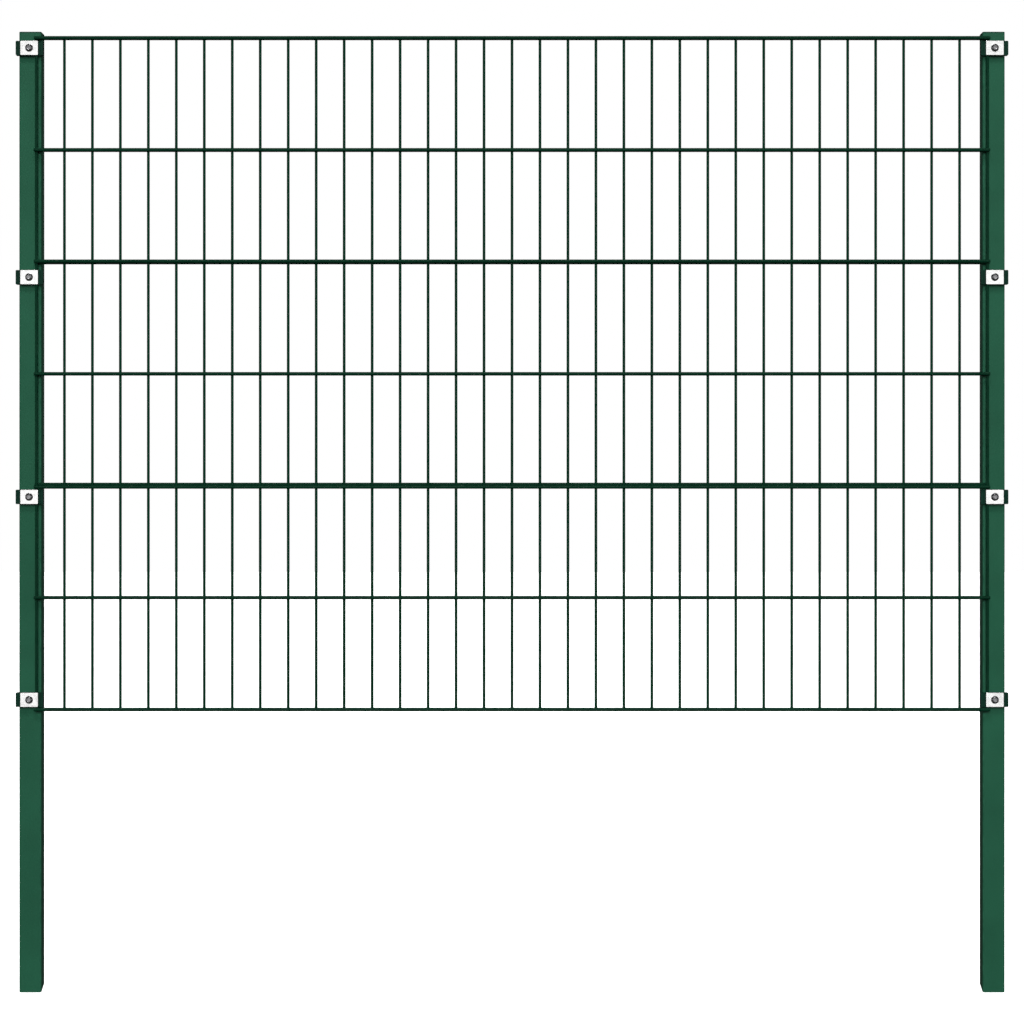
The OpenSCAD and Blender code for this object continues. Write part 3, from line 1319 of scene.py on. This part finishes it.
    def nut(self) -> Piece:
        """Turns the rivet nut: flange, body, gripping bulge and bore.

        Returns:
            The nut.
        """
        ease, body, bore = self.nut_ease, self.nut_body_r, self.nut_bore_r
        flange, front = self.nut_flange_r, -self.nut_flange_t
        bulge, bulge_to = self.nut_bulge_r, self.wall + self.nut_bulge_l
        outline = [(bore, self.nut_l), (bore, front + ease), (bore + ease, front)]
        outline += [(flange - ease / 2, front), (flange, front + ease / 2)]
        outline += [(flange, -ease / 4), (flange - ease / 4, 0.0)]
        outline += [(body, 0.0), (body, self.wall), (bulge - ease, self.wall + ease / 4)]
        outline += [(bulge, (self.wall + bulge_to) / 2), (bulge - ease, bulge_to - ease / 2)]
        outline += [(body, bulge_to), (body, self.nut_l - ease), (body - ease, self.nut_l)]
        nut = Bench.turned("nut", outline, self.sides, ring=True)
        Bench.smooth(nut)
        return nut


@dataclass
class Clamps:
    """All clamps of both posts, copied from one kit."""

    sides: Sequence[str]
    count: int
    finishes: Finishes
    kit: ClampKit = field(default_factory=ClampKit)

    def build(self) -> None:
        """Makes each master, copies it to every clamp, and clears the master away."""
        face_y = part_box(f"{self.sides[0]}_post")[0].y
        lines = (
            (self.kit.saddle, "wire_saddle", "moulded_saddle", self.finishes.saddle, Slot.SADDLE_PLASTIC),
            (self.kit.plate, "clamp_plate", "punched_plate", self.finishes.plate, Slot.PLATE_STEEL),
            (self.kit.screw, "clamp_screw", "button_screw", self.finishes.screw, Slot.SCREW_STEEL),
            (self.kit.nut, "rivet_nut", "set_rivet_nut", self.finishes.nut, Slot.NUT_ZINC),
        )
        for make, node, title, finish, slot in lines:
            master = make()
            material = finish.mixed()
            for side in self.sides:
                for i in range(1, self.count + 1):
                    axis = middle_of(f"{side}_clamp_screw_{i}")
                    shift = (axis.x, face_y, axis.z)
                    piece = Bench.copy(master, f"{side}_{title}_{i}", shift)
                    hand_over(piece, material, [f"{side}_{node}_{i}"])
            Bench.discard(master)


# Wire mat


@dataclass
class WireMat:
    """Welded mat: rows of two line wires with the upright wires between them."""

    row_count: int
    group_count: int
    group_size: int = 5
    wire_sides: int = 32
    end_r: float = 0.7 * MM
    end_steps: int = 3
    wire_round: float = 0.9  # faces of a wire that turn less than this are shaded as one
    weld_r: float = 2.5 * MM
    weld_t: float = 0.85 * MM
    weld_sides: int = 10
    weld_round: float = 1.2

    def group(self, number: int) -> tuple[Vector, Vector, float, float]:
        """Reads a group of upright wires from the frame.

        Args:
            number: The group's number.

        Returns:
            The two corners of the group's box, the wires' diameter and their pitch.
        """
        low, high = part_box(f"upright_wires_{number}")
        diameter = high.y - low.y
        return low, high, diameter, (high.x - low.x - diameter) / (self.group_size - 1)

    def wire(self, name: str, along: Axis, low: Vector, high: Vector) -> Piece:
        """Draws one wire with sheared ends that the coat has rounded.

        Args:
            name: Name of the wire.
            along: Axis that the wire follows.
            low: Lowest corner of its box.
            high: Highest corner of its box.

        Returns:
            The wire.
        """
        across = Axis.Z if along is Axis.X else Axis.X
        radius = (high[across.value] - low[across.value]) / 2
        start = (low + high) / 2
        start[along.value] = low[along.value]
        length = high[along.value] - low[along.value]
        wire = Bench.rod(name, along, radius, start, length, self.wire_sides)
        ends = (low[along.value], high[along.value])
        Bench.round_edges(
            wire, lambda e: any(lies_at(e, along, end) for end in ends), self.end_r, self.end_steps
        )
        Bench.pick(wire, Part.FACE, lambda f: any(lies_at(f, along, end) for end in ends))
        bpy.ops.mesh.inset(thickness=radius / 3)
        Bench.close()
        Bench.smooth(wire, self.wire_round)
        return wire

    def line_wires(self, coat: Material) -> None:
        """Makes the front and rear line wire of every row.

        Args:
            coat: The wires' material.
        """
        for layer in ("front", "rear"):
            for i in range(1, self.row_count + 1):
                node = f"{layer}_line_wire_{i}"
                wire = self.wire(f"{layer}_line_rod_{i}", Axis.X, *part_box(node))
                hand_over(wire, coat, [node])

    def upright_wires(self, coat: Material) -> None:
        """Makes the upright wires, one piece for each group of the frame.

        Args:
            coat: The wires' material.
        """
        for group in range(1, self.group_count + 1):
            low, high, diameter, pitch = self.group(group)
            first_high = Vector((low.x + diameter, high.y, high.z))
            wires = self.wire(f"upright_rods_{group}", Axis.Z, low, first_high)
            Bench.row(wires, self.group_size, (pitch, 0, 0))
            hand_over(wires, coat, [f"upright_wires_{group}"])

    def bead(self, name: str) -> Piece:
        """Turns one weld bead: flash squeezed out between two crossing wires.

        Args:
            name: Name of the bead.

        Returns:
            The bead.
        """
        lower = [(r * self.weld_r, -t * self.weld_t) for r, t in BEAD_SHAPE]
        upper = [(r * self.weld_r, t * self.weld_t) for r, t in reversed(BEAD_SHAPE[:-1])]
        return Bench.turned(name, lower + upper, self.weld_sides)

    def welds(self, coat: Material) -> None:
        """Makes the weld beads of every row, on both sides of the upright wires.

        Args:
            coat: The beads' material.
        """
        low, high, diameter, pitch = self.group(1)
        count = self.group_count * self.group_size
        master = self.bead("bead")
        for layer, y in (("front", low.y), ("rear", high.y)):
            for i in range(1, self.row_count + 1):
                row = middle_of(f"{layer}_line_wire_{i}")
                shift = (low.x + diameter / 2, y, row.z)
                beads = Bench.copy(master, f"{layer}_weld_beads_{i}", shift)
                Bench.row(beads, count, (pitch, 0, 0))
                Bench.smooth(beads, self.weld_round)
                hand_over(beads, coat)
        Bench.discard(master)

    def build(self, finishes: Finishes) -> None:
        """Makes the whole mat and hands it over.

        Args:
            finishes: The bay's finishes.
        """
        coat = finishes.wire.mixed()
        self.line_wires(coat)
        self.upright_wires(coat)
        self.welds(finishes.weld.mixed())


# Studio


@dataclass(frozen=True)
class Lamp:
    """One soft panel of light."""

    name: str
    place: Triple
    aim: Triple
    size: tuple[float, float]
    power: float
    lights_matt: bool = True  # False: the panel is only mirrored
    is_mirrored: bool = True  # False: the panel only lights matt surfaces

    def hang(self) -> None:
        """Hangs the panel in the studio."""
        data = bpy.data.lights.new(self.name, "AREA")
        data.shape = "RECTANGLE"
        data.size, data.size_y = self.size
        data.energy = self.power
        lamp = put_up(self.name, data, self.place, self.aim)
        lamp.visible_diffuse = self.lights_matt
        lamp.visible_glossy = self.is_mirrored


@dataclass(frozen=True)
class FarLamp:
    """Even light from far away, too wide to be mirrored as a spot."""

    name: str
    place: Triple
    aim: Triple
    strength: float
    spread: float = 0.5

    def hang(self) -> None:
        """Hangs the lamp in the studio."""
        data = bpy.data.lights.new(self.name, "SUN")
        data.energy = self.strength
        data.angle = self.spread
        lamp = put_up(self.name, data, self.place, self.aim)
        lamp.visible_glossy = False


def every_lamp() -> Iterator[Lamp | FarLamp]:
    """Lists the studio's lamps.

    Yields:
        Even light, wide panels, and panels that bright metal mirrors.
    """
    middle = (0.0, 0.0, 0.8)
    yield FarLamp("front_light", (0.0, -9.0, 3.2), middle, 3.1)
    yield FarLamp("rear_light", (0.0, 9.0, 5.0), middle, 2.4)
    yield Lamp("overhead_front_panel", (0.0, -5.0, 6.2), middle, (2.6, 1.8), 260.0)
    yield Lamp(
        "overhead_rear_panel", (0.0, 5.0, 6.2), middle, (2.6, 1.8), 200.0, is_mirrored=False
    )
    for side, sign in (("left", -1), ("right", 1)):
        place = (sign * 2.1, 0.5, 0.95)
        aim = (sign * 0.88, 0.0, 0.9)
        yield Lamp(f"near_{side}_panel", place, aim, (0.8, 1.9), 11.0, is_mirrored=False)
    level = 1.45
    yield Lamp(
        "mirrored_front_panel",
        (0.0, -7.5, level),
        (0.0, 0.0, level),
        (5.6, 4.2),
        94.0,
        lights_matt=False,
    )
    for side, sign in (("left", -1), ("right", 1)):
        place = (sign * 6.0, -4.2, 1.6)
        aim = (0.0, 0.0, 1.2)
        yield Lamp(f"mirrored_{side}_panel", place, aim, (3.0, 3.5), 34.0, lights_matt=False)


def put_up(name: str, data: bpy.types.Light, place: Sequence[float], aim: Sequence[float]) -> Piece:
    """Hangs a light in its place, points it at its aim and hides it from the camera.

    Args:
        name: Name of the light.
        data: The light itself.
        place: Where it hangs.
        aim: Point that it shines at.

    Returns:
        The hung light.
    """
    lamp = bpy.data.objects.new(name, data)
    bpy.context.scene.collection.objects.link(lamp)
    lamp.location = place
    way = Vector(aim) - Vector(place)
    lamp.rotation_euler = way.to_track_quat("-Z", "Y").to_euler()
    lamp.visible_camera = False
    return lamp


@dataclass
class Studio:
    """Pale floor, pale surroundings, soft panels and the camera."""

    camera_place: Triple = (0.0, -5.714, 0.860)
    lens: float = 112.0
    sensor: float = 36.0
    floor_half: float = 40.0
    floor_dip: float = 0.5 * MM
    floor_pitch: float = 0.6
    ambient: float = 0.05
    backdrop: float = 1.0
    floor_glow: float = 0.85

    def surroundings(self) -> None:
        """Sets even pale light all round."""
        world = bpy.data.worlds.new("pale_studio")
        world.use_nodes = True
        tree = world.node_tree
        sky = tree.nodes["Background"]
        sky.inputs["Color"].default_value = (1.0, 1.0, 1.0, 1.0)
        rays = tree.nodes.new("ShaderNodeLightPath")
        level = tree.nodes.new("ShaderNodeMapRange")
        level.inputs["To Min"].default_value = self.ambient
        level.inputs["To Max"].default_value = self.backdrop
        tree.links.new(rays.outputs["Is Camera Ray"], level.inputs["Value"])
        tree.links.new(level.outputs["Result"], sky.inputs["Strength"])
        bpy.context.scene.world = world

    def floor(self) -> None:
        """Lays the plain pale floor."""
        Bench.clear()
        bpy.ops.mesh.primitive_plane_add(size=2 * self.floor_half, location=(0, 0, -self.floor_dip))
        floor = Bench.name(bpy.context.object, "studio_floor")
        Bench.settle(floor)
        mix = Recipe("pale_floor")
        tone = mix.span(mix.noise(self.floor_pitch), 0.3, 0.7)
        pale = mix.finish(
            {
                "Base Color": mix.blend(tone, (0.93, 0.93, 0.93), (0.96, 0.96, 0.96)),
                "Roughness": 0.9,
                "Specular IOR Level": 0.1,
                "Emission Color": (1.0, 1.0, 1.0, 1.0),
                "Emission Strength": self.floor_glow,
            }
        )
        floor.data.materials.append(pale)
        floor.visible_diffuse = False
        floor.visible_glossy = False

    def camera(self) -> None:
        """Sets the camera level, straight in front."""
        data = bpy.data.cameras.new("front_camera")
        data.lens = self.lens
        data.sensor_width = self.sensor
        data.clip_end = 200.0
        camera = bpy.data.objects.new("front_camera", data)
        bpy.context.scene.collection.objects.link(camera)
        camera.location = self.camera_place
        camera.rotation_euler = (math.pi / 2, 0, 0)
        bpy.context.scene.camera = camera

    def build(self) -> None:
        """Sets up the whole studio."""
        bpy.context.scene.view_settings.view_transform = "Standard"
        self.surroundings()
        self.floor()
        for lamp in every_lamp():
            lamp.hang()
        self.camera()


# Main


def count_nodes(stem: str) -> int:
    """Returns how many numbered CAD nodes share a stem."""
    return sum(1 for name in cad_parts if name.startswith(stem) and name[len(stem) :].isdigit())


def main() -> None:
    """Builds the bay, one sub-assembly after another."""
    logging.basicConfig(level=logging.INFO, format="%(name)s %(message)s")
    finishes = Finishes()
    sides = ("left", "right")
    clamp_count = count_nodes("left_clamp_screw_")
    coat = finishes.post.mixed()
    plastic = finishes.cap.mixed()
    for side in sides:
        Post(side, clamp_count).build(coat)
        PostCap(side).build(plastic)
    Clamps(sides, clamp_count, finishes).build()
    WireMat(count_nodes("front_line_wire_"), count_nodes("upright_wires_")).build(finishes)
    Studio().build()


if __name__ == "__main__":
    main()
